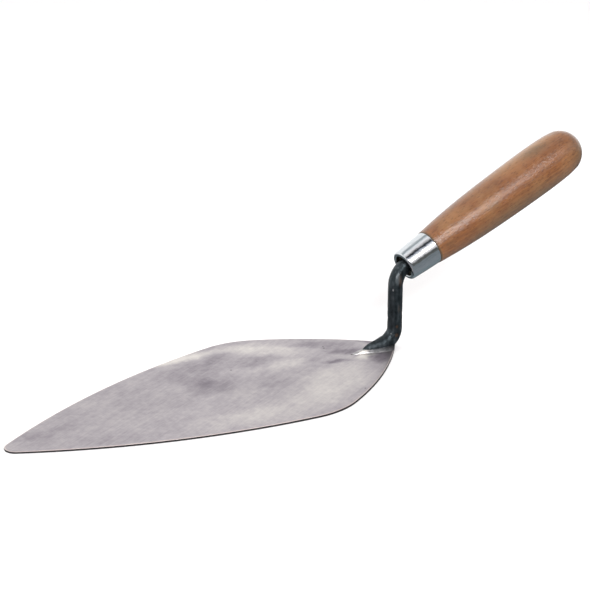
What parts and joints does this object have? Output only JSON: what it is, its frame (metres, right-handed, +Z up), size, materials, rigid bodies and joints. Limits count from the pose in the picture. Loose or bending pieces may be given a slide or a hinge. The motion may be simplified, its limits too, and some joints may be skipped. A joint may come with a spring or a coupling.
{
  "type": "brick trowel",
  "caption": "Pointed brick trowel for laying mortar: taper-ground steel blade, cranked black steel shank, plated ferrule and turned wooden handle.",
  "frame": {"origin": "on the blade's flat underside, directly below the neck's axis, just inside the heel", "axes": "+X along the blade from the neck to the tip, +Z up out of the blade towards the neck, +Y to the left of the tip; the handle leans back towards -X and the trowel is symmetric about the plane Y = 0"},
  "size_m": [0.4246, 0.127, 0.1212],
  "materials": {
    "ground_steel": "satin ground, lengthwise grind marks",
    "forged_steel": "blue-black forge scale, semi-matt",
    "weld_steel": "dressed by hand, satin",
    "plated_ferrule": "bright plated",
    "varnished_wood": "clear varnish, satin gloss"
  },
  "bodies": {
    "root": {"blade": "ground_steel", "shank": "forged_steel", "foot_weld": "weld_steel", "ferrule": "plated_ferrule", "handle": "varnished_wood"}
  },
  "joints": []
}
